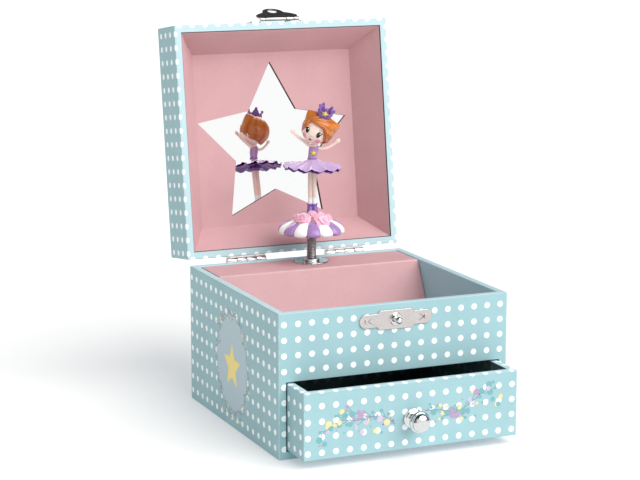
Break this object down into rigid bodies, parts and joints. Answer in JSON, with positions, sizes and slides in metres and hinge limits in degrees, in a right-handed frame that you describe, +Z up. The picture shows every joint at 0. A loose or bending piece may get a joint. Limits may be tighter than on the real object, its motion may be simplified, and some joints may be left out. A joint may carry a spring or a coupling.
{
  "type": "ballerina jewellery box",
  "caption": "Paper-covered jewellery box with hinged mirror lid, pull-out drawer, clasp, and a dancer on a spring turned by a clockwork music movement.",
  "frame": {"origin": "middle of the underside of the box", "axes": "+X to the right of the drawer's front, +Y to the back where the hinges are, +Z up"},
  "size_m": [0.15, 0.2478, 0.2476],
  "materials": {
    "dotted_paper_board": "matt printed paper over board, turquoise with white dots",
    "plain_board": "bare fibreboard",
    "pink_card": "matt pink paper over card",
    "pink_felt": "short pink felt",
    "mirror_glass": "silvered",
    "chrome": "polished",
    "nickel": "bright nickel plate",
    "brass": "satin",
    "steel": "satin",
    "striped_resin": "painted, white and purple segments",
    "pink_resin": "painted",
    "skin_resin": "painted, with details",
    "lavender_resin": "painted",
    "orange_resin": "painted",
    "purple_resin": "painted"
  },
  "bodies": {
    "box": {"front_panel": "dotted_paper_board", "left_wall": "dotted_paper_board", "right_wall": "dotted_paper_board", "back_wall": "dotted_paper_board", "bottom_board": "dotted_paper_board", "divider_board": "plain_board", "compartment_lining": "pink_felt", "movement_cover": "pink_card", "shaft_flange": "chrome", "shaft_collar": "chrome", "hinge_body_leaf_left": "nickel", "hinge_body_leaf_right": "nickel", "hinge_pins": "nickel", "body_nails": "nickel", "catch_plate": "nickel", "catch_stud": "chrome", "movement_bedplate": "brass", "comb": "steel", "movement_screws": "steel"},
    "lid": {"lid_top": "dotted_paper_board", "lid_front": "dotted_paper_board", "lid_back": "dotted_paper_board", "lid_left": "dotted_paper_board", "lid_right": "dotted_paper_board", "lid_liner_front": "pink_card", "lid_liner_back": "pink_card", "lid_liner_left": "pink_card", "lid_liner_right": "pink_card", "mirror_card": "pink_card", "star_mirror": "mirror_glass", "hinge_lid_leaf_left": "nickel", "hinge_lid_leaf_right": "nickel", "lid_nails": "nickel", "hasp_plate": "nickel", "hasp_pin": "nickel"},
    "hasp": {"hasp_tongue": "nickel"},
    "drawer": {"drawer_front": "dotted_paper_board", "drawer_left": "dotted_paper_board", "drawer_right": "dotted_paper_board", "drawer_back": "dotted_paper_board", "drawer_bottom": "dotted_paper_board", "drawer_knob": "chrome", "drawer_knob_screw": "nickel"},
    "spring": {"figure_spring": "steel"},
    "dancer": {"figure_dome": "striped_resin", "figure_legs": "skin_resin", "figure_roses": "pink_resin", "figure_tutu": "lavender_resin", "figure_bodice": "lavender_resin", "figure_arms": "skin_resin", "figure_head": "skin_resin", "figure_hair": "orange_resin", "figure_crown": "purple_resin"},
    "spindle": {"spindle": "steel"},
    "cylinder": {"cylinder": "brass"},
    "barrel": {"spring_barrel": "brass"},
    "key": {"winding_arbor": "steel", "winding_key": "nickel"},
    "governor": {"governor": "steel"},
    "stop": {"stop_rod": "steel"}
  },
  "joints": [
    {"name": "lid_hinge", "type": "hinge", "parent": "box", "child": "lid", "pos_m": [0, 0.0785, 0.08815], "axis": [-1, 0, 0], "range_deg": [-98, 0]},
    {"name": "hasp_swing", "type": "hinge", "parent": "lid", "child": "hasp", "pos_m": [0, 0.1044, 0.24224], "axis": [-1, 0, 0], "range_deg": [-157, 0]},
    {"name": "drawer_slide", "type": "slide", "parent": "box", "child": "drawer", "axis": [0, -1, 0], "range_m": [-0.0243, 0.0907]},
    {"name": "dancer_fold", "type": "hinge", "parent": "box", "child": "spring", "pos_m": [0.0033, 0.0474, 0.0786], "axis": [1, 0, 0], "range_deg": [0, 98], "deforming": ["figure_spring"]},
    {"name": "dancer_turn", "type": "hinge", "parent": "spring", "child": "dancer", "pos_m": [0.0033, 0.0594, 0.104], "axis": [0, 0, 1], "continuous": true},
    {"name": "spindle_turn", "type": "hinge", "parent": "box", "child": "spindle", "pos_m": [0.0033, 0.0594, 0.078], "axis": [0, 0, 1], "continuous": true},
    {"name": "cylinder_turn", "type": "hinge", "parent": "box", "child": "cylinder", "pos_m": [0, 0.0594, 0.066], "axis": [1, 0, 0], "continuous": true},
    {"name": "barrel_turn", "type": "hinge", "parent": "box", "child": "barrel", "pos_m": [-0.0205, 0.05, 0.066], "axis": [0, 1, 0], "continuous": true},
    {"name": "governor_turn", "type": "hinge", "parent": "box", "child": "governor", "pos_m": [0.0083, 0.0483, 0.068], "axis": [0, 0, 1], "continuous": true},
    {"name": "key_turn", "type": "hinge", "parent": "box", "child": "key", "pos_m": [-0.0205, 0.077, 0.066], "axis": [0, 1, 0], "continuous": true},
    {"name": "stop_slide", "type": "slide", "parent": "box", "child": "stop", "axis": [0, 0, 1], "range_m": [-0.003, 0]}
  ],
  "couplings": [
    {"joint": "dancer_fold", "follows": "lid_hinge", "ratio": -1},
    {"joint": "stop_slide", "follows": "lid_hinge", "m_per_rad": 0.00175},
    {"joint": "spindle_turn", "follows": "dancer_turn", "ratio": 1},
    {"joint": "cylinder_turn", "follows": "dancer_turn", "ratio": -0.41667},
    {"joint": "barrel_turn", "follows": "dancer_turn", "ratio": -0.083333},
    {"joint": "governor_turn", "follows": "dancer_turn", "ratio": 10}
  ]
}
